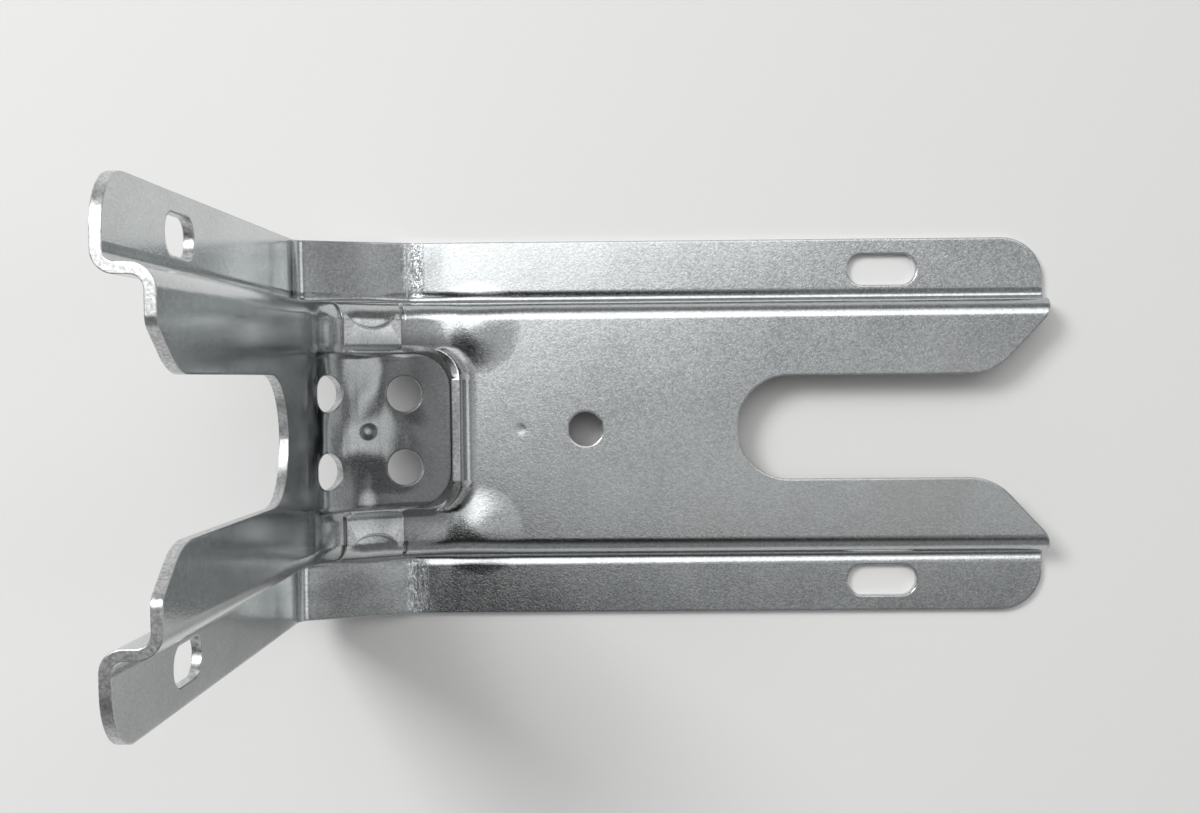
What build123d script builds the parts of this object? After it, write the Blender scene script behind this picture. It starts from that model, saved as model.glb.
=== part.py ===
from build123d import *
import os
from math import atan2, cos, hypot, pi, radians, sin, sqrt, tan

# Range anti-tip bracket: one galvanised sheet, stamped into a hat section and folded into an L.
# Frame: +Z up. The floor leg lies on z = 0 and runs along +X, the wall leg stands on its low-X end,
# and the part is symmetric about y = 0. The origin is at the middle of the footprint.
# Until the last step the part is worked out from the line where the floor and the wall planes meet.

# Overall sizes, in millimetres
FLOOR_LENGTH = 140.0
WALL_HEIGHT = 108.0
WIDTH = 70.0
SHEET = 1.5

# Hat section: the web stands off the mounting planes on two risers
WEB_RISE = 7.8
CHANNEL_WIDTH = 47.0
WEB_ROLL = 3.3
FLANGE_ROLL = 1.4

# Corner of the L: a slope cuts it off, at the back of the flanges and at the front of the web
FLANGE_SLOPE_FLOOR = 21.4
FLANGE_SLOPE_WALL = 9.0
FLANGE_BEND = 3.0
WEB_SLOPE_FLOOR = 24.0
WEB_SLOPE_WALL = 18.0
WEB_FLOOR_BEND = 26.0
WEB_WALL_BEND = 14.0

# Flanges
FLANGE_CORNER = 7.7
SLOT_LENGTH = 13.0
SLOT_WIDTH = 5.8
SLOT_FROM_END = 30.0

# Notch in the floor web, which takes the leg of the range
FLOOR_NOTCH_WIDTH = 19.1
FLOOR_NOTCH_DEPTH = 57.6
FLOOR_MOUTH_WIDTH = 41.4
FLOOR_MOUTH_DEPTH = 10.5
FLOOR_MOUTH_ROUND = 10.0
FLOOR_TIP_ROUND = 5.0

# Notch in the wall web
WALL_NOTCH_WIDTH = 20.6
WALL_NOTCH_DEPTH = 64.5
WALL_MOUTH_WIDTH = 32.4
WALL_MOUTH_DEPTH = 8.2
WALL_MOUTH_ROUND = 12.0
WALL_TIP_ROUND = 2.0

# Screw hole in the floor web
WEB_HOLE_DIAMETER = 6.3
WEB_HOLE_FROM_WALL = 54.4

# Window across the corner, with a lip that curls up at its floor edge and fades round its corners
WINDOW_WIDTH = 28.6
WINDOW_FLOOR = 30.0
WINDOW_CORNER = 5.0
LIP_BEND = 3.0
LIP_TURN = 80.0
LIP_END_TURN = 20.0
LIP_STEPS = 3

# Curved panel that fills the window and runs up into the wall web, with two pairs of screw holes
PANEL_RADIUS = 26.0
PANEL_TURN = 52.0
PANEL_GAP = 0.4
PANEL_CORNER = 7.0
PANEL_LAP = 0.4
PANEL_HOLE_DIAMETER = 6.6
FLOOR_HOLE_SPACING = 13.5
FLOOR_HOLE_TILT = 19.7
WALL_HOLE_SPACING = 13.9
WALL_HOLE_TILT = 54.0

# Flats pressed up out of the strips beside the window, each scalloped at the riser between two ears
FLAT_LENGTH = 11.0
FLAT_FROM_FLOOR = 9.6
FLAT_FROM_WINDOW = 1.2
FLAT_RAISE = 1.0
FLAT_FALL = 2.6
FLAT_FROM_RISER = 0.6
SCALLOP_RADIUS = 6.0
SCALLOP_FROM_RISER = 4.8

# Creases that the two bends leave in the rolled edges of the web, each at a share of its bend
FLOOR_CREASE = 0.72
WALL_CREASE = 0.3
CREASE_WIDTH = 0.6
CREASE_DEPTH = 0.5

# Shallow press marks on the middle line
MARK_FROM_WALL = 42.4
MARK_TILT = 35.0
MARK_DIAMETER = 3.2
MARK_DEPTH = 0.25

CUT_MARGIN = 5.0


def bent_line(depth, floor_turn, wall_turn, bends, shift=0):
    """Side line of the L, from the floor end to the wall end.

    depth is the distance from the mounting planes at which the two turns of the slope are given,
    bends are the radii of the two turns there, and shift moves the whole line square to itself,
    towards the inside of the L.
    """
    slope = atan2(wall_turn - depth, floor_turn - depth)
    across = depth + shift
    floor_point = (floor_turn + shift * tan(slope / 2), across)
    wall_point = (across, wall_turn + shift * tan(pi / 4 - slope / 2))
    radii = [bend - shift for bend in bends]
    return FilletPolyline((FLOOR_LENGTH, across), floor_point, wall_point, (across, WALL_HEIGHT), radius=radii)


def flange_line(shift=0):
    """Line of the flanges, at their back or shifted from it."""
    bend = FLANGE_BEND + SHEET
    return bent_line(0, FLANGE_SLOPE_FLOOR, FLANGE_SLOPE_WALL, [bend, bend], shift)


def web_line(shift=0):
    """Line of the web, at its front or shifted from it."""
    bends = [WEB_FLOOR_BEND, WEB_WALL_BEND]
    return bent_line(WEB_RISE, WEB_SLOPE_FLOOR, WEB_SLOPE_WALL, bends, shift)


def layer(back, front, width):
    """Solid between two lines of the L, across the given width."""
    ends = [Line(back @ 0, front @ 0), Line(back @ 1, front @ 1)]
    return extrude(Plane.XZ * make_face(back.edges() + front.edges() + ends), amount=width / 2, both=True)


def edges_along(solid, line, width):
    """Edges that follow a line of the L along both sides of a channel of the given width."""
    near = SHEET / 100
    chosen = ShapeList()
    for edge in solid.edges():
        points = [edge.position_at(share) for share in (0, 0.5, 1)]
        at_side = all(abs(abs(point.Y) - width / 2) < near for point in points)
        if at_side and all(line.distance_to(Vertex(point.X, point.Z, 0)) < near for point in points):
            chosen.append(edge)
    return chosen


def hat_section():
    """The sheet before it is pierced: flanges, risers and the raised web, with rolled edges."""
    flange_back, flange_front = flange_line(), flange_line(SHEET)
    web_front, web_back = web_line(), web_line(-SHEET)
    inside = CHANNEL_WIDTH - 2 * SHEET
    channel = layer(flange_back, web_front, CHANNEL_WIDTH)
    channel = fillet(edges_along(channel, web_front, CHANNEL_WIDTH), WEB_ROLL)
    sheet = layer(flange_back, flange_front, WIDTH) + channel
    sheet = fillet(edges_along(sheet, flange_front, CHANNEL_WIDTH), FLANGE_ROLL)
    hollow = layer(flange_line(-SHEET), web_back, inside)
    sheet -= fillet(edges_along(hollow, web_back, inside), WEB_ROLL - SHEET)
    return fillet(edges_along(sheet, flange_back, inside), FLANGE_ROLL + SHEET)


def round_flange_corners(sheet):
    """The sheet with the outer corners of its four flanges rounded."""
    near = SHEET / 10
    corners = ShapeList()
    for edge in sheet.edges():
        middle = edge.position_at(0.5)
        at_side = abs(abs(middle.Y) - WIDTH / 2) < near
        at_end = middle.X > FLOOR_LENGTH - near or middle.Z > WALL_HEIGHT - near
        if at_side and at_end and edge.length < SHEET + near:
            corners.append(edge)
    return fillet(corners, FLANGE_CORNER)


def on_wall(shape):
    """A shape drawn for the floor, turned over to the wall."""
    return mirror(shape, about=Plane(origin=(0, 0, 0), z_dir=(1, 0, -1)))


def notch(end, width, run, mouth_width, mouth_run, mouth_round, tip_round):
    """Cutter for an open notch with a flared mouth, at the end of a floor leg of the given length."""
    bottom_round = width / 2 - SHEET / 100
    half = [(end, WIDTH / 2), (end, mouth_width / 2), (end - mouth_run, width / 2), (end - run, width / 2)]
    other_half = [(x, -y) for x, y in reversed(half)]
    rounds = [tip_round, mouth_round, bottom_round]
    side = FilletPolyline(*half, *other_half, radius=rounds + rounds[::-1])
    past = end + CUT_MARGIN
    closing = Polyline(side @ 1, (past, -WIDTH / 2), (past, WIDTH / 2), side @ 0)
    face = make_face(side.edges() + closing.edges())
    return Pos(0, 0, -CUT_MARGIN) * extrude(face, amount=WEB_RISE + 2 * CUT_MARGIN)


def flange_slots(end):
    """Cutters for the pair of slots near the end of a floor leg of the given length."""
    slot = extrude(SlotOverall(SLOT_LENGTH, SLOT_WIDTH), amount=CUT_MARGIN, both=True)
    middle_of_flange = (WIDTH + CHANNEL_WIDTH) / 4
    return [Pos(end - SLOT_FROM_END, side * middle_of_flange, 0) * slot for side in (-1, 1)]


def over_corner(reach, width, corner):
    """Upright block over the corner of the L, out to a reach along the floor, with rounded far corners."""
    plan = Rectangle(2 * reach, width)
    plan = fillet(plan.vertices().group_by(Axis.X)[-1], corner)
    return extrude(plan, amount=WEB_RISE + PANEL_RADIUS)


def panel_bends():
    """Radius and middle of the two bends of the panel: one from the web, and a tighter one to the wall."""
    lean = radians(PANEL_TURN)
    middle = (WINDOW_FLOOR, WEB_RISE + PANEL_RADIUS)
    wall_bend = (WINDOW_FLOOR - WEB_RISE - PANEL_RADIUS * sin(lean)) / (1 - sin(lean))
    between = PANEL_RADIUS - wall_bend
    return PANEL_RADIUS, middle, wall_bend, (middle[0] - between * sin(lean), middle[1] - between * cos(lean))


def panel_line(shift=0):
    """Line of the panel, from the floor edge of the window up to the wall web, at its front or behind it."""
    floor_bend, floor_middle, wall_bend, wall_middle = panel_bends()
    lower = CenterArc(floor_middle, floor_bend + shift, 270 - PANEL_TURN, PANEL_TURN)
    upper = CenterArc(wall_middle, wall_bend + shift, 180, 90 - PANEL_TURN)
    return Curve() + [upper, lower]


def panel_top():
    """Height at which the panel runs into the wall web."""
    return panel_bends()[3][1]


def lip_arc(turn, radius):
    """Arc of the lip's bend, from the web up to the cut edge, in a frame at the edge of the window."""
    lean = radians(turn)
    middle = (LIP_BEND + SHEET) * sin(lean)
    return ThreePointArc(*[(middle - radius * sin(part), LIP_BEND - radius * cos(part))
                           for part in (0, lean / 2, lean)])


def lip_section(turn):
    """Section of the lip where it has turned up by an angle, drawn past the window and past the web's back."""
    bend = lip_arc(turn, LIP_BEND)
    past = lip_arc(turn, LIP_BEND + 2 * SHEET) @ 1
    start, end = bend @ 0, bend @ 1
    rest = Polyline(end, past, (past.X, -2 * SHEET), (start.X, -2 * SHEET), start)
    return make_face(bend.edges() + rest.edges())


def lip_frame(angle):
    """Frame across the edge of the window, at an angle round its corner, with X towards the web."""
    out = Vector(cos(radians(angle)), sin(radians(angle)), 0)
    pivot = Vector(WINDOW_FLOOR - WINDOW_CORNER, WINDOW_WIDTH / 2 - WINDOW_CORNER, WEB_RISE)
    return Plane(origin=pivot + out * WINDOW_CORNER, x_dir=out, z_dir=(out.Y, -out.X, 0))


def window_lip(window):
    """The lip at the floor edge of the window, and the cutter that rounds its back."""
    straight = WINDOW_WIDTH - 2 * WINDOW_CORNER
    run = extrude(lip_frame(0) * lip_section(LIP_TURN), amount=straight)
    fade = (LIP_END_TURN - LIP_TURN) / LIP_STEPS
    sections = [lip_frame(90 * step / LIP_STEPS) * lip_section(LIP_TURN + fade * step)
                for step in range(LIP_STEPS + 1)]
    corner = loft(sections)
    back = lip_arc(LIP_TURN, LIP_BEND + SHEET)
    start, end = back @ 0, back @ 1
    under = Polyline(end, (-SHEET, end.Y), (-SHEET, -2 * SHEET), (start.X, -2 * SHEET), start)
    rounding = extrude(lip_frame(0) * make_face(back.edges() + under.edges()), amount=straight)
    behind_web = layer(flange_line(-SHEET), web_line(-SHEET), WIDTH)
    return run + corner + mirror(corner, about=Plane.XZ) - window - behind_web, rounding


def panel_frame(tilt, y):
    """Frame on the front of the screw panel, where it leans by a tilt, with Z into the open corner."""
    lean = radians(tilt)
    outward = (sin(lean), 0, cos(lean))
    x = WINDOW_FLOOR - PANEL_RADIUS * sin(lean)
    z = WEB_RISE + PANEL_RADIUS - PANEL_RADIUS * cos(lean)
    return Plane(origin=(x, y, z), x_dir=(0, 1, 0), z_dir=outward)


def screw_panel():
    """The curved panel across the corner: free at the floor, joined to the strips and to the wall web."""
    front, back = panel_line(), panel_line(SHEET)
    ends = [Line(back @ 0, front @ 0), Line(back @ 1, front @ 1)]
    width = WINDOW_WIDTH + 2 * PANEL_LAP
    section = make_face(front.edges() + back.edges() + ends)
    bowl = extrude(Plane.XZ * section, amount=width / 2, both=True)
    reach = WINDOW_FLOOR - PANEL_GAP
    joined = Box(2 * (reach - PANEL_CORNER), width, 2 * (WEB_RISE + PANEL_RADIUS))
    return (bowl & over_corner(reach, WINDOW_WIDTH, PANEL_CORNER)) + (bowl & joined)


def panel_holes():
    """Cutters for the four screw holes of the panel, each square to its surface."""
    hole = Cylinder(PANEL_HOLE_DIAMETER / 2, 2 * CUT_MARGIN)
    pairs = ((FLOOR_HOLE_TILT, FLOOR_HOLE_SPACING), (WALL_HOLE_TILT, WALL_HOLE_SPACING))
    return [panel_frame(tilt, side * spacing / 2) * hole for tilt, spacing in pairs for side in (-1, 1)]


def across_strip(from_floor):
    """Frame across the slope of the web, at a distance from its floor end, with X along the width."""
    run, rise = WEB_SLOPE_FLOOR - WEB_RISE, WEB_SLOPE_WALL - WEB_RISE
    share = from_floor / hypot(run, rise)
    place = (WEB_SLOPE_FLOOR - share * run, 0, WEB_RISE + share * rise)
    return Plane(origin=place, x_dir=(0, 1, 0), z_dir=(run, 0, -rise))


def strip_flats():
    """Flats raised on the strips beside the window, and cutters for the hollows behind them."""
    across = across_strip(FLAT_FROM_FLOOR)
    side, riser = WINDOW_WIDTH / 2, CHANNEL_WIDTH / 2
    inner, foot = side + FLAT_FROM_WINDOW, riser - FLAT_FROM_RISER
    section = Polygon((side - PANEL_LAP, -SHEET / 2), (inner, FLAT_RAISE), (foot - FLAT_FALL, FLAT_RAISE),
                      (foot, FLAT_RAISE - FLAT_FALL), align=None)
    flat = extrude(across * section, amount=FLAT_LENGTH / 2, both=True)
    scallop_edge = riser - SCALLOP_FROM_RISER
    upright = across * Pos(scallop_edge + SCALLOP_RADIUS, 0, 0) * Rot(90, 0, 0)
    flat -= upright * Cylinder(SCALLOP_RADIUS, 2 * CUT_MARGIN)
    under = FLAT_RAISE - SHEET
    back = Polygon((inner, under), (scallop_edge, under), (scallop_edge, -CUT_MARGIN), (inner, -CUT_MARGIN),
                   align=None)
    room = extrude(across * back, amount=FLAT_LENGTH / 2 - SHEET, both=True)
    return flat + mirror(flat, about=Plane.XZ), room + mirror(room, about=Plane.XZ)


def strip_creases():
    """Cutters for the creases across the rolled edges of the web, at the two bends of the strips."""
    reach = WEB_ROLL + CREASE_DEPTH
    ring = Circle(reach) - Circle(WEB_ROLL - CREASE_DEPTH)
    bent = Pos(CHANNEL_WIDTH / 2 - WEB_ROLL, -WEB_ROLL) * (
        ring & Rectangle(reach, reach, align=(Align.MIN, Align.MIN)))
    _, floor_bend, _, wall_bend, _ = web_line().edges()
    creases = []
    for bend, share in ((floor_bend, FLOOR_CREASE), (wall_bend, WALL_CREASE)):
        place, along = bend @ share, bend % share
        across = Plane(origin=(place.X, 0, place.Y), x_dir=(0, 1, 0), z_dir=(-along.X, 0, -along.Y))
        crease = extrude(across * bent, amount=CREASE_WIDTH / 2, both=True)
        creases += [crease, mirror(crease, about=Plane.XZ)]
    return creases


def press_marks():
    """Cutters for the shallow round marks on the floor web and in the middle of the panel."""
    ball = (MARK_DIAMETER ** 2 / 4 + MARK_DEPTH ** 2) / (2 * MARK_DEPTH)
    on_web = Plane(origin=(MARK_FROM_WALL, 0, WEB_RISE))
    dent = Pos(0, 0, ball - MARK_DEPTH) * Sphere(ball)
    return [on_web * dent, panel_frame(MARK_TILT, 0) * dent]


def bracket():
    """The finished bracket, with the corner of the L at the origin."""
    window = over_corner(WINDOW_FLOOR, WINDOW_WIDTH, WINDOW_CORNER) & Box(
        2 * WINDOW_FLOOR, WINDOW_WIDTH, 2 * panel_top())
    lip, lip_rounding = window_lip(window)
    flats, flat_hollows = strip_flats()
    floor_notch = notch(FLOOR_LENGTH, FLOOR_NOTCH_WIDTH, FLOOR_NOTCH_DEPTH, FLOOR_MOUTH_WIDTH,
                        FLOOR_MOUTH_DEPTH, FLOOR_MOUTH_ROUND, FLOOR_TIP_ROUND)
    wall_notch = notch(WALL_HEIGHT, WALL_NOTCH_WIDTH, WALL_NOTCH_DEPTH, WALL_MOUTH_WIDTH,
                       WALL_MOUTH_DEPTH, WALL_MOUTH_ROUND, WALL_TIP_ROUND)
    web_hole = Pos(WEB_HOLE_FROM_WALL, 0, WEB_RISE) * Cylinder(WEB_HOLE_DIAMETER / 2, 2 * CUT_MARGIN)
    sheet = round_flange_corners(hat_section()) - window + lip - lip_rounding
    sheet = sheet + screw_panel() + flats - flat_hollows - strip_creases()
    sheet = sheet - floor_notch - on_wall(wall_notch) - flange_slots(FLOOR_LENGTH)
    sheet -= [on_wall(slot) for slot in flange_slots(WALL_HEIGHT)]
    return sheet - web_hole - panel_holes() - press_marks()


os.makedirs("parts", exist_ok=True)
export_step(Pos(-FLOOR_LENGTH / 2, 0, 0) * bracket(), "parts/anti_tip_bracket.step")
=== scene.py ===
"""Range anti-tip bracket: the zinc-coated sheet with its sheared edges, on a pale studio floor."""

import logging
from dataclasses import dataclass, field
from enum import Enum
from math import radians
from typing import Any, Union

import bpy
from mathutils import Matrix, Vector
from mathutils.bvhtree import BVHTree


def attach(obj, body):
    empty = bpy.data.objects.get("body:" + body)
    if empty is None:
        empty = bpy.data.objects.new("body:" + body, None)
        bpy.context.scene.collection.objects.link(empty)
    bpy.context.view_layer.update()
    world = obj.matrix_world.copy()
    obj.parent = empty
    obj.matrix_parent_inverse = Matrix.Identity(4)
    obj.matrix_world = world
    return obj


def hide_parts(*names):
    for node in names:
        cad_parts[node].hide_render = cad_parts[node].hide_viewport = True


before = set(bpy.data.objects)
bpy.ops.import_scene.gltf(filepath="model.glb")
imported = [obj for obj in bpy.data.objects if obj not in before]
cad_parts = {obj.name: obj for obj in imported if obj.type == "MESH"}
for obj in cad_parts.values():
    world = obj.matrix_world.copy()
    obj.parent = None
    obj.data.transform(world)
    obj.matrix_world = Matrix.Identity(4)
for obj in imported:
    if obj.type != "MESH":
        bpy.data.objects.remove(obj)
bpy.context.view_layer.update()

LOG = logging.getLogger("bracket")
MM = 0.001
Colour = tuple[float, float, float, float]
Triple = tuple[float, float, float]


class Surface(Enum):
    """Which of the sheet's two kinds of face a face is; the value is its material slot."""

    ROLLED = 0
    SHEARED = 1


class Value:
    """A shader socket that can be used in Python arithmetic; each operation adds a Math node."""

    def __init__(self, graph: "Graph", socket: bpy.types.NodeSocket) -> None:
        """Wrap one output socket.

        Args:
            graph: the graph that the socket belongs to.
            socket: the output socket.
        """
        self.graph = graph
        self.socket = socket

    def math(self, operation: str, *others: "Number", swapped: bool = False) -> "Value":
        """Add a Math node on this value.

        Args:
            operation: the Math node's operation.
            others: the other operands.
            swapped: whether this value is the second operand.

        Returns:
            The node's result.
        """
        operands = [*others, self] if swapped else [self, *others]
        inputs = {index: operand for index, operand in enumerate(operands)}
        return self.graph.add("ShaderNodeMath", {"operation": operation}, inputs)

    def __add__(self, other: "Number") -> "Value":
        """Sum."""
        return self.math("ADD", other)

    def __radd__(self, other: "Number") -> "Value":
        """Sum, reflected."""
        return self.math("ADD", other)

    def __sub__(self, other: "Number") -> "Value":
        """Difference."""
        return self.math("SUBTRACT", other)

    def __rsub__(self, other: "Number") -> "Value":
        """Difference, reflected."""
        return self.math("SUBTRACT", other, swapped=True)

    def __mul__(self, other: "Number") -> "Value":
        """Product."""
        return self.math("MULTIPLY", other)

    def __rmul__(self, other: "Number") -> "Value":
        """Product, reflected."""
        return self.math("MULTIPLY", other)

    def __abs__(self) -> "Value":
        """Absolute value."""
        return self.math("ABSOLUTE")

    def step(self, low: float, high: float) -> "Value":
        """Rise smoothly from 0 to 1.

        Args:
            low: where the rise starts.
            high: where it ends.

        Returns:
            The share of the rise.
        """
        settings = {"interpolation_type": "SMOOTHSTEP"}
        inputs = {"Value": self, "From Min": low, "From Max": high}
        return self.graph.add("ShaderNodeMapRange", settings, inputs)


Number = Union[Value, float]


class Graph:
    """A node tree of a material or a world, with one way to add a node."""

    def __init__(self, tree: bpy.types.NodeTree) -> None:
        """Empty a node tree and take it over.

        Args:
            tree: the node tree.
        """
        self.tree = tree
        tree.nodes.clear()

    def add(self, kind: str, settings: dict[str, Any], inputs: dict[Any, Any], output: Any = 0) -> Value:
        """Add a node.

        Args:
            kind: the node's type.
            settings: its properties.
            inputs: a value, or what is linked, for each input socket.
            output: the output socket that is wanted.

        Returns:
            That output.
        """
        node = self.tree.nodes.new(kind)
        for name, setting in settings.items():
            setattr(node, name, setting)
        for name, given in inputs.items():
            socket = node.inputs[name]
            if isinstance(given, Value):
                self.tree.links.new(given.socket, socket)
            else:
                socket.default_value = given
        return Value(self, node.outputs[output]) if len(node.outputs) else Value(self, None)

    def noise(self, place: Value, scale: float, detail: float, rough: float = 0.5) -> Value:
        """Add a Noise texture.

        Args:
            place: the coordinates.
            scale: features to a unit of the coordinates.
            detail: how many finer layers it has.
            rough: how strong the finer layers are.

        Returns:
            Its value, about 0.5 on average.
        """
        inputs = {"Vector": place, "Scale": scale, "Detail": detail, "Roughness": rough}
        return self.add("ShaderNodeTexNoise", {}, inputs, "Fac")

    def millimetres(self) -> Value:
        """Object coordinates in millimetres."""
        place = self.add("ShaderNodeTexCoord", {}, {}, "Object")
        return self.add("ShaderNodeVectorMath", {"operation": "SCALE"}, {0: place, "Scale": 1 / MM})

    def broken_edges(self, radius: float) -> Value:
        """Normals that run smoothly round the edges, as on a sheet whose edges are broken.

        Args:
            radius: how far from an edge they turn.

        Returns:
            The normals.
        """
        return self.add("ShaderNodeBevel", {"samples": 6}, {"Radius": radius})

    def axes(self, place: Value) -> tuple[Value, Value, Value]:
        """Split a vector into its three parts."""
        node = self.add("ShaderNodeSeparateXYZ", {}, {"Vector": place}).socket.node
        return tuple(Value(self, node.outputs[name]) for name in "XYZ")

    def mix(self, share: Number, first: Any, second: Any) -> Value:
        """Mix two colours.

        Args:
            share: how much of the second there is.
            first: the first colour.
            second: the second colour.

        Returns:
            The mixed colour.
        """
        settings = {"data_type": "RGBA"}
        return self.add("ShaderNodeMix", settings, {0: share, 6: first, 7: second}, 2)


def centred(value: Value) -> Value:
    """Move a texture's value from 0 to 1 to the range from -1 to 1."""
    return value * 2.0 - 1.0


@dataclass(frozen=True)
class ZincCoat:
    """The satin zinc coat of the rolled sheet, with its fine bright grain, and painted shade in its creases and
    round the window.
    """

    name: str = "zinc_coat"
    dull: Colour = (0.393, 0.411, 0.416, 1.0)
    bright: Colour = (0.686, 0.713, 0.72, 1.0)
    stain: Colour = (0.46, 0.445, 0.42, 1.0)
    # Dark colour of painted shade, mixed in where ambient occlusion finds a crease and round the window's floor
    # edge.
    painted_shade: Colour = (0.10, 0.105, 0.11, 1.0)
    roughness: float = 0.14
    edge_break: float = 0.55 * MM
    grain_scale: float = 2.8
    speck_scale: float = 4.5
    crystal_scale: float = 2.4
    cloud_scale: float = 0.07
    stain_scale: float = 0.03
    grain_depth: float = 0.02 * MM
    grain_strength: float = 0.35
    galled_middle: float = -48.0
    galled_strokes: Triple = (2.4, 0.45, 1.0)
    flange_from: float = 24.5
    dent_scale: float = 0.10
    dent_depth: float = 1.6 * MM
    bulge_place: tuple[float, float] = (-36.0, 19.0)
    bulge_reach: float = 9.0
    bulge: float = 0.35
    dish_middle: float = -57.0
    dish_reach: float = 9.0
    dish: float = 0.30
    # Strength of the painted shade round the window's floor edge.
    window_shade_share: float = 0.65
    window_edge: float = -40.0
    window_half: float = 14.3
    # Strength and reach of the painted shade in creases and recesses, found by ambient occlusion.
    crevice_shade: float = 0.55
    crevice_shade_reach: float = 3.0 * MM

    def material(self) -> bpy.types.Material:
        """Make the material."""
        material = bpy.data.materials.new(self.name)
        material.use_nodes = True
        graph = Graph(material.node_tree)
        place = graph.millimetres()
        x, y, z = graph.axes(place)
        grain = centred(graph.noise(place, self.grain_scale, 2.0, 0.6))
        specks = graph.noise(place, self.speck_scale, 0.0).step(0.60, 0.80)
        cloud = centred(graph.noise(place, self.cloud_scale, 3.0, 0.55))
        crystal = graph.add("ShaderNodeTexVoronoi", {}, {
            "Vector": place, "Scale": self.crystal_scale}, "Color")
        facet = centred(graph.axes(crystal)[0])
        galled = self.galled_line(graph, place, x, y)
        tone = 0.55 + grain * 0.34 + specks * 0.34 + cloud * 0.24 + facet * 0.12 + galled * 0.45
        colour = graph.mix(tone.step(0.0, 1.1), self.dull, self.bright)
        warm = graph.noise(place, self.stain_scale, 2.0).step(0.58, 0.80) * 0.35
        colour = graph.mix(warm, colour, self.stain)
        # Painted shade: the colour darkens towards the painted-shade colour where ambient occlusion finds the
        # surface enclosed, in creases and recesses.
        open_share = graph.add("ShaderNodeAmbientOcclusion", {"samples": 8}, {
            "Distance": self.crevice_shade_reach}, "AO")
        colour = graph.mix((1.0 - open_share.step(0.35, 0.95)) * self.crevice_shade, colour, self.painted_shade)
        # Painted shade: a dark band painted on the web round the window's floor edge, in place of the shading
        # of its valley.
        colour = graph.mix(self.window_shade_mask(x, y, z) * self.window_shade_share, colour, self.painted_shade)
        rough = self.roughness + grain * 0.03 + cloud * 0.03 + facet * 0.02 + galled * 0.04
        height = grain * 0.6 + specks * 0.4 + facet * 0.25 + galled * 7.0
        rounded = graph.broken_edges(self.edge_break)
        dented = graph.add("ShaderNodeBump", {}, {
            "Distance": self.dent_depth, "Height": self.dents(graph, place), "Normal": rounded})
        bump = graph.add("ShaderNodeBump", {}, {
            "Strength": self.grain_strength, "Distance": self.grain_depth,
            "Height": height, "Normal": dented})
        surface = graph.add("ShaderNodeBsdfPrincipled", {}, {
            "Base Color": colour, "Roughness": rough, "Metallic": 1.0, "Normal": bump})
        graph.add("ShaderNodeOutputMaterial", {}, {"Surface": surface})
        return material

    def dents(self, graph: Graph, place: Value) -> Value:
        """Shallow dents across the corner, a bulge of the web beside them and a dish in each flange's slope.

        Args:
            graph: the material's graph.
            place: coordinates in millimetres.

        Returns:
            The height, about from 0 to 1.
        """
        x, y, z = graph.axes(place)
        at_corner = (1.0 - x.step(-49.0, -41.0)) * (1.0 - z.step(20.0, 30.0))
        on_panel = 1.0 - abs(y).step(13.0, 16.0)
        on_flange = abs(y).step(23.0, 26.0)
        along = x - self.bulge_place[0]
        across = abs(y) - self.bulge_place[1]
        reach = (along * along + across * across).math("SQRT")
        bulge = (1.0 - reach.step(0.0, self.bulge_reach)) * self.bulge
        dish = abs(x - self.dish_middle).step(0.0, self.dish_reach) * on_flange * self.dish
        dents = graph.noise(place, self.dent_scale, 0.5) * at_corner * (0.25 + on_panel * 0.75)
        return dents + bulge + dish

    def window_shade_mask(self, x: Value, y: Value, z: Value) -> Value:
        """Painted shade in a band round the window's floor edge, in place of the shading of the valley there.

        Args:
            x: coordinate along the floor leg, in millimetres.
            y: coordinate across the part.
            z: height.

        Returns:
            The share of painted shade, from 0 to 1.
        """
        outside = (x - self.window_edge).math("MAXIMUM", 0.0)
        beside = (abs(y) - self.window_half).math("MAXIMUM", 0.0)
        reach = (outside * outside + beside * beside).math("SQRT")
        return (1.0 - reach.step(1.0, 5.0)) * (1.0 - z.step(10.0, 24.0))

    def galled_line(self, graph: Graph, place: Value, x: Value, y: Value) -> Value:
        """Scraped band across each flange where the floor bend was formed.

        Args:
            graph: the material's graph.
            place: coordinates in millimetres.
            x: their first part.
            y: their second part.

        Returns:
            The height of the scraping, from -1 to 1.
        """
        band = 1.0 - abs(x - self.galled_middle).step(1.0, 2.6)
        on_flange = abs(y).step(self.flange_from, self.flange_from + 1.0)
        drawn_out = graph.add("ShaderNodeVectorMath", {"operation": "MULTIPLY"}, {
            0: place, 1: self.galled_strokes})
        scrape = centred(graph.noise(drawn_out, 1.0, 3.0, 0.7).step(0.30, 0.70))
        return band * on_flange * scrape


@dataclass(frozen=True)
class ShearedSteel:
    """The bare edge of the sheet, as the punch leaves it."""

    name: str = "sheared_edge"
    dark: Colour = (0.42, 0.42, 0.42, 1.0)
    light: Colour = (0.80, 0.81, 0.82, 1.0)
    roughness: float = 0.26
    edge_break: float = 0.3 * MM
    streak_scale: float = 2.2
    streak_depth: float = 0.03 * MM

    def material(self) -> bpy.types.Material:
        """Make the material."""
        material = bpy.data.materials.new(self.name)
        material.use_nodes = True
        graph = Graph(material.node_tree)
        place = graph.millimetres()
        streak = graph.noise(place, self.streak_scale, 3.0, 0.7)
        colour = graph.mix(streak.step(0.25, 0.75), self.dark, self.light)
        rough = self.roughness + streak * 0.15
        rounded = graph.broken_edges(self.edge_break)
        bump = graph.add("ShaderNodeBump", {}, {
            "Strength": 0.5, "Distance": self.streak_depth, "Height": streak, "Normal": rounded})
        surface = graph.add("ShaderNodeBsdfPrincipled", {}, {
            "Base Color": colour, "Roughness": rough, "Metallic": 1.0, "Normal": bump})
        graph.add("ShaderNodeOutputMaterial", {}, {"Surface": surface})
        return material


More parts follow.
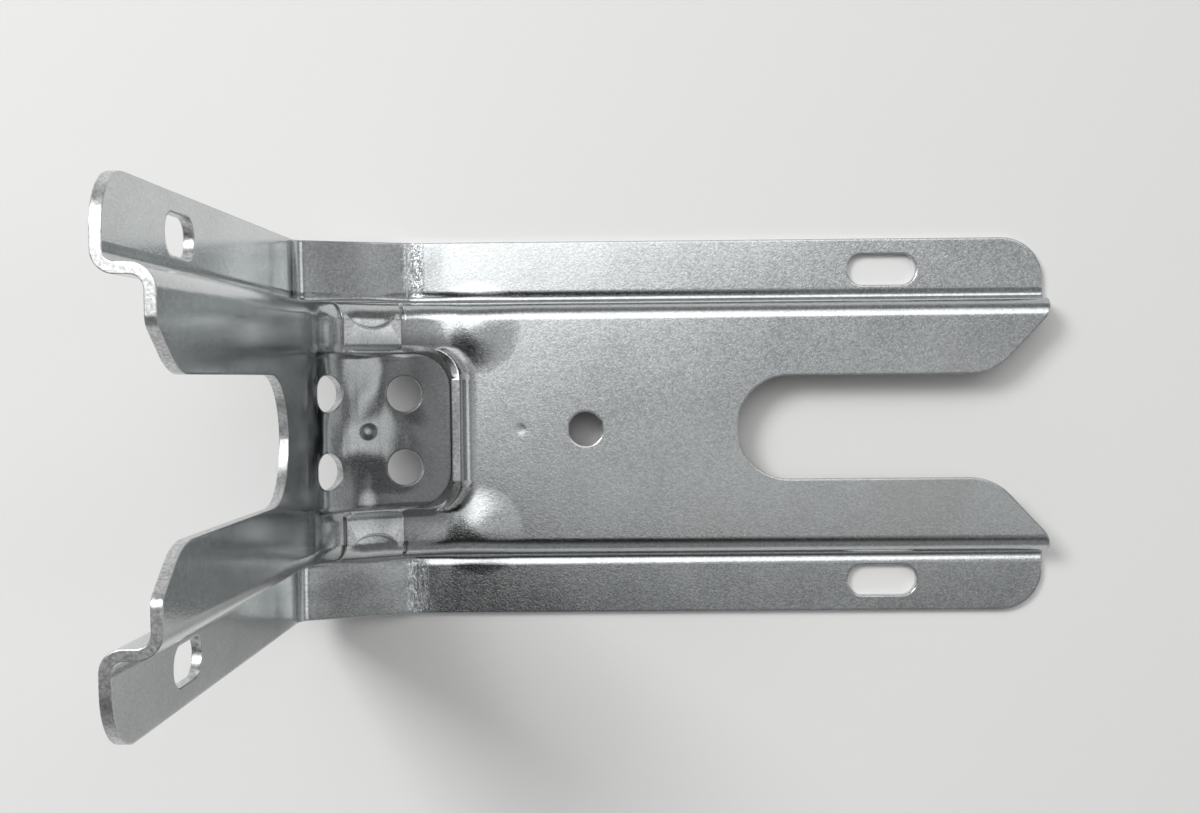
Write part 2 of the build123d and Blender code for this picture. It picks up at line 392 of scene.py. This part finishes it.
@dataclass
class StampedSheet:
    """The bracket itself: one sheet, with smooth bends and broken edges."""

    node: str = "anti_tip_bracket"
    slot: str = "galvanised_steel"
    name: str = "stamped_sheet"
    sheet: float = 1.5 * MM
    weld: float = 0.002 * MM
    smooth_angle: float = radians(12)
    mark_middle: Triple = (-27.6 * MM, 0.0, 7.8 * MM)
    mark_reach: float = 1.7 * MM
    mark_share: float = 0.35
    coat: ZincCoat = field(default_factory=ZincCoat)
    edge: ShearedSteel = field(default_factory=ShearedSteel)

    def build(self) -> bpy.types.Object:
        """Model the sheet and give it its finishes.

        Returns:
            The finished piece.
        """
        piece = self.merged_copy()
        self.ease_mark(piece)
        self.sort_faces(piece)
        self.smooth(piece)
        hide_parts(self.node)
        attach(piece, "root")
        return piece

    def merged_copy(self) -> bpy.types.Object:
        """Copy the solid's mesh and join its loose triangles."""
        bpy.ops.object.select_all(action="DESELECT")
        piece = bpy.data.objects.new(self.name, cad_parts[self.node].data.copy())
        piece.data.materials.clear()
        bpy.context.scene.collection.objects.link(piece)
        piece.select_set(True)
        bpy.context.view_layer.objects.active = piece
        bpy.ops.mesh.customdata_custom_splitnormals_clear()
        bpy.ops.object.mode_set(mode="EDIT")
        bpy.ops.mesh.select_all(action="SELECT")
        bpy.ops.mesh.remove_doubles(threshold=self.weld)
        bpy.ops.object.mode_set(mode="OBJECT")
        return piece

    def ease_mark(self, piece: bpy.types.Object) -> None:
        """Make the press mark on the web fainter.

        Args:
            piece: the sheet.
        """
        middle = Vector(self.mark_middle)
        for vertex in piece.data.vertices:
            below = middle.z - vertex.co.z
            near = (vertex.co.xy - middle.xy).length < self.mark_reach
            if near and 0.0 < below < self.sheet / 2:
                vertex.co.z = middle.z - below * self.mark_share

    def sort_faces(self, piece: bpy.types.Object) -> None:
        """Give each face the finish of the rolled surface or of the sheared edge.

        A face of the rolled surface has the other side of the sheet one thickness behind it.

        Args:
            piece: the sheet.
        """
        piece.data.materials.append(self.coat.material())
        piece.data.materials.append(self.edge.material())
        tree = BVHTree.FromPolygons([vertex.co for vertex in piece.data.vertices],
                                    [polygon.vertices[:] for polygon in piece.data.polygons])
        for polygon in piece.data.polygons:
            inward = -polygon.normal
            start = polygon.center + inward * self.sheet * 0.01
            *_, distance = tree.ray_cast(start, inward)
            rolled = distance is not None and distance < self.sheet * 1.3
            polygon.material_index = (Surface.ROLLED if rolled else Surface.SHEARED).value

    def smooth(self, piece: bpy.types.Object) -> None:
        """Shade the bends smoothly and keep the creases."""
        bpy.ops.object.select_all(action="DESELECT")
        piece.select_set(True)
        bpy.context.view_layer.objects.active = piece
        bpy.ops.object.shade_smooth_by_angle(angle=self.smooth_angle)
        weighted = piece.modifiers.new("flat_faces_stay_flat", "WEIGHTED_NORMAL")
        weighted.keep_sharp = True
        bpy.ops.object.modifier_apply(modifier=weighted.name)


@dataclass
class Studio:
    """Floor, soft light and the camera that looks straight down on the part."""

    floor_size: float = 6.0
    floor_drop: float = 0.05 * MM
    floor_colour: Colour = (0.80, 0.80, 0.79, 1.0)
    floor_roughness: float = 0.75
    lamp_place: Triple = (-0.42, 0.34, 0.68)
    lamp_size: float = 0.28
    lamp_power: float = 3.5
    zenith_level: float = 0.25
    band_level: float = 0.42
    dip_level: float = 0.20
    soft_level: float = 1.75
    dark_share: float = 0.9
    horizon_level: float = 0.27
    horizon_drop: float = 0.10
    backdrop_level: float = 0.40
    card_place: tuple[float, float] = (0.88, 0.47)
    card_level: float = 1.3
    lens: float = 44.232
    camera_place: Triple = (-0.006727, 0.009505, 0.279563)
    camera_turn: Triple = (radians(-2.1838), radians(0.7557), radians(-0.5056))
    shift: tuple[float, float] = (-0.01144, 0.02214)

    def build(self) -> None:
        """Make the floor, the light and the camera."""
        self.floor()
        self.lamp()
        self.sky()
        self.camera()

    def floor(self) -> None:
        """Lay a plain pale floor under the part."""
        bpy.ops.object.select_all(action="DESELECT")
        bpy.ops.mesh.primitive_plane_add(size=self.floor_size, location=(0.0, 0.0, -self.floor_drop))
        plane = bpy.context.object
        plane.name = "floor"
        material = bpy.data.materials.new("pale_floor")
        material.use_nodes = True
        graph = Graph(material.node_tree)
        surface = graph.add("ShaderNodeBsdfPrincipled", {}, {
            "Base Color": self.floor_colour, "Roughness": self.floor_roughness})
        graph.add("ShaderNodeOutputMaterial", {}, {"Surface": surface})
        plane.data.materials.append(material)

    def lamp(self) -> None:
        """Hang one soft lamp above and beside the part."""
        data = bpy.data.lights.new("soft_box", "AREA")
        data.shape = "SQUARE"
        data.size = self.lamp_size
        data.energy = self.lamp_power
        lamp = bpy.data.objects.new("soft_box", data)
        lamp.location = self.lamp_place
        lamp.rotation_euler = (-Vector(self.lamp_place)).to_track_quat("-Z", "Y").to_euler()
        bpy.context.scene.collection.objects.link(lamp)

    def sky(self) -> None:
        """Light the part from all round, brightest overhead on the far left, with a card past the floor leg."""
        world = bpy.data.worlds.new("studio")
        world.use_nodes = True
        bpy.context.scene.world = world
        graph = Graph(world.node_tree)
        direction = graph.add("ShaderNodeTexCoord", {}, {}, "Generated")
        x, y, z = graph.axes(direction)
        band = y.step(-0.135, -0.10) * self.band_level
        dip = y.step(-0.08, 0.02) * self.dip_level
        soft_light = (y - x * 0.45).step(0.0, 0.17) * self.soft_level
        dark_corner = (x * -0.9 - y * 0.9).step(0.14, 0.22) * self.dark_share
        overhead = (self.zenith_level + band - dip + soft_light) * (1.0 - dark_corner)
        backdrop = (1.0 - z.step(0.0, 0.25)) * self.backdrop_level
        horizon = self.horizon_level - x.step(0.35, 0.75) * self.horizon_drop + backdrop
        card = (x * self.card_place[0] + z * self.card_place[1]).step(0.96, 0.998) * self.card_level
        low = 1.0 - z.step(0.55, 0.90)
        level = overhead + low * (horizon - overhead) + card
        light = graph.add("ShaderNodeBackground", {}, {"Color": (1.0, 1.0, 1.0, 1.0), "Strength": level})
        graph.add("ShaderNodeOutputWorld", {}, {"Surface": light})

    def camera(self) -> None:
        """Place the camera at the photograph's height and angle."""
        data = bpy.data.cameras.new("camera")
        data.sensor_width = 36.0
        data.lens = self.lens
        data.shift_x, data.shift_y = self.shift
        data.clip_start = 0.01
        camera = bpy.data.objects.new("camera", data)
        camera.location = self.camera_place
        camera.rotation_euler = self.camera_turn
        bpy.context.scene.collection.objects.link(camera)
        bpy.context.scene.camera = camera


def main() -> None:
    """Build the sheet and the studio."""
    logging.basicConfig(level=logging.INFO)
    bpy.context.scene.view_settings.view_transform = "Standard"
    piece = StampedSheet().build()
    LOG.info("%s: %d faces", piece.name, len(piece.data.polygons))
    Studio().build()
    LOG.info("studio: floor, lamp, sky and camera")


if __name__ == "__main__":
    main()
